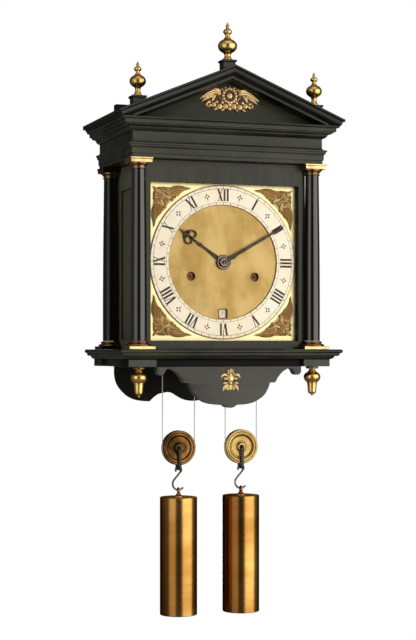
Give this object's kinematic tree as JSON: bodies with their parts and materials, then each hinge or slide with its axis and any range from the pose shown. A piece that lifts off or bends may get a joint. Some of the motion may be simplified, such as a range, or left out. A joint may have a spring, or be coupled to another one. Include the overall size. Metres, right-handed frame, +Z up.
{
  "type": "hooded wall clock",
  "caption": "Ebonised architectural hooded wall clock: lift-off columned hood with pediment and gilt mounts, square brass dial, verge movement and brass weights on pulleys.",
  "frame": {"origin": "on the back face of the backboard, on the clock's centre line, level with the top of the shelf", "axes": "+Z up, the dial faces -Y, +Y into the wall, +X to the right as seen by someone who faces the dial"},
  "size_m": [0.3234, 0.1892, 0.8166],
  "materials": {
    "ebony": "ebonised pearwood, French polished to a soft gloss",
    "oak": "plain oiled oak",
    "gilt": "cast brass, fire gilt and burnished",
    "dial_brass": "gilt brass, matted centre and polished border",
    "silvered": "silvered brass, engraved and waxed",
    "movement_brass": "grained and lacquered brass",
    "bell_metal": "turned bell metal",
    "weight_brass": "spun and lacquered brass",
    "steel": "forged and filed steel, darkened with age",
    "blued_steel": "dark blued steel",
    "gut": "twisted gut line",
    "glass": "clear thin crown glass"
  },
  "bodies": {
    "case": {"backboard": "ebony", "base_shelf": "ebony", "apron": "ebony", "seatboard": "oak", "apron_ornament": "gilt", "drop_finial_left": "gilt", "drop_finial_right": "gilt", "dial_plate": "dial_brass", "chapter_ring": "silvered", "spandrel_top_left": "gilt", "spandrel_top_right": "gilt", "spandrel_bottom_left": "gilt", "spandrel_bottom_right": "gilt", "front_plate": "movement_brass", "back_plate": "movement_brass", "bell": "bell_metal", "strike_line": "gut", "going_line": "gut"},
    "hood": {"hood_body": "ebony", "front_glass": "glass", "side_glass_left": "glass", "side_glass_right": "glass", "entablature": "ebony", "pediment": "ebony", "pediment_ornament": "gilt", "column_base_front_left": "gilt", "column_shaft_front_left": "ebony", "column_capital_front_left": "gilt", "column_base_front_right": "gilt", "column_shaft_front_right": "ebony", "column_capital_front_right": "gilt", "column_base_rear_left": "gilt", "column_shaft_rear_left": "ebony", "column_capital_rear_left": "gilt", "column_base_rear_right": "gilt", "column_shaft_rear_right": "ebony", "column_capital_rear_right": "gilt", "finial_left": "gilt", "finial_right": "gilt", "finial_centre": "gilt"},
    "centre_arbor": {"minute_hand": "blued_steel", "centre_wheel": "movement_brass"},
    "hour_pipe": {"hour_hand": "blued_steel"},
    "date_ring": {"calendar_ring": "silvered"},
    "great_wheel": {"going_great_wheel": "movement_brass"},
    "contrate": {"contrate_wheel": "movement_brass"},
    "crown": {"crown_wheel": "movement_brass"},
    "pendulum": {"pendulum_rod": "steel", "pendulum_bob": "movement_brass"},
    "hammer": {"bell_hammer": "steel"},
    "going_drum": {"going_barrel": "movement_brass"},
    "strike_drum": {"strike_barrel": "movement_brass"},
    "going_block": {"going_stirrup": "steel"},
    "strike_block": {"strike_stirrup": "steel"},
    "going_sheave": {"going_pulley": "weight_brass"},
    "strike_sheave": {"strike_pulley": "weight_brass"},
    "going_load": {"going_hook": "steel", "going_weight": "weight_brass"},
    "strike_load": {"strike_hook": "steel", "strike_weight": "weight_brass"}
  },
  "joints": [
    {"name": "hood_lift", "type": "slide", "parent": "case", "child": "hood", "axis": [0, 0, 1], "range_m": [0, 0.29]},
    {"name": "minute_hand_turn", "type": "hinge", "parent": "case", "child": "centre_arbor", "pos_m": [0, -0.1, 0.1197], "axis": [0, 1, 0], "continuous": true},
    {"name": "hour_hand_turn", "type": "hinge", "parent": "case", "child": "hour_pipe", "pos_m": [0, -0.13, 0.1197], "axis": [0, 1, 0], "continuous": true},
    {"name": "great_wheel_turn", "type": "hinge", "parent": "case", "child": "great_wheel", "pos_m": [0.0465, -0.10875, 0.1], "axis": [0, 1, 0], "continuous": true},
    {"name": "contrate_wheel_turn", "type": "hinge", "parent": "case", "child": "contrate", "pos_m": [0, -0.09, 0.1479], "axis": [0, 1, 0], "continuous": true},
    {"name": "crown_wheel_turn", "type": "hinge", "parent": "case", "child": "crown", "pos_m": [0, -0.085, 0.18], "axis": [0, 0, 1], "continuous": true},
    {"name": "calendar_ring_turn", "type": "hinge", "parent": "case", "child": "date_ring", "pos_m": [0, -0.1354, 0.1197], "axis": [0, 1, 0], "continuous": true},
    {"name": "pendulum_swing", "type": "hinge", "parent": "case", "child": "pendulum", "pos_m": [0, -0.044, 0.196], "axis": [0, 1, 0], "range_deg": [-12, 12]},
    {"name": "hammer_draw", "type": "hinge", "parent": "case", "child": "hammer", "pos_m": [-0.06, -0.085, 0.185], "axis": [0, 1, 0], "range_deg": [-15, 0], "stiffness_Nm_per_rad": 0.05, "springref_deg": 5.73},
    {"name": "going_weight_travel", "type": "slide", "parent": "case", "child": "going_block", "axis": [0, 0, 1], "range_m": [-1.1, 0.08], "deforming": ["going_line"]},
    {"name": "going_pulley_turn", "type": "hinge", "parent": "going_block", "child": "going_sheave", "pos_m": [0.0465, -0.085, -0.1375], "axis": [0, 1, 0], "range_deg": [-2680, 210]},
    {"name": "going_barrel_turn", "type": "hinge", "parent": "case", "child": "going_drum", "pos_m": [0.0465, -0.085, 0.1], "axis": [0, 1, 0], "range_deg": [-5360, 420]},
    {"name": "going_weight_swing", "type": "hinge", "parent": "going_block", "child": "going_load", "pos_m": [0.0465, -0.085, -0.1653], "axis": [0, 1, 0], "range_deg": [-10, 10]},
    {"name": "strike_weight_travel", "type": "slide", "parent": "case", "child": "strike_block", "axis": [0, 0, 1], "range_m": [-1.1, 0.08], "deforming": ["strike_line"]},
    {"name": "strike_pulley_turn", "type": "hinge", "parent": "strike_block", "child": "strike_sheave", "pos_m": [-0.0465, -0.085, -0.1375], "axis": [0, 1, 0], "range_deg": [-2680, 210]},
    {"name": "strike_barrel_turn", "type": "hinge", "parent": "case", "child": "strike_drum", "pos_m": [-0.0465, -0.085, 0.1], "axis": [0, 1, 0], "range_deg": [-5360, 420]},
    {"name": "strike_weight_swing", "type": "hinge", "parent": "strike_block", "child": "strike_load", "pos_m": [-0.0465, -0.085, -0.1653], "axis": [0, 1, 0], "range_deg": [-10, 10]}
  ],
  "couplings": [
    {"joint": "hour_hand_turn", "follows": "minute_hand_turn", "ratio": 0.083333},
    {"joint": "great_wheel_turn", "follows": "minute_hand_turn", "ratio": -0.083333},
    {"joint": "contrate_wheel_turn", "follows": "minute_hand_turn", "ratio": -12},
    {"joint": "crown_wheel_turn", "follows": "minute_hand_turn", "ratio": -120},
    {"joint": "going_pulley_turn", "follows": "going_weight_travel", "rad_per_m": 42.373},
    {"joint": "going_barrel_turn", "follows": "going_weight_travel", "rad_per_m": 84.746},
    {"joint": "strike_pulley_turn", "follows": "strike_weight_travel", "rad_per_m": 42.373},
    {"joint": "strike_barrel_turn", "follows": "strike_weight_travel", "rad_per_m": 84.746}
  ]
}
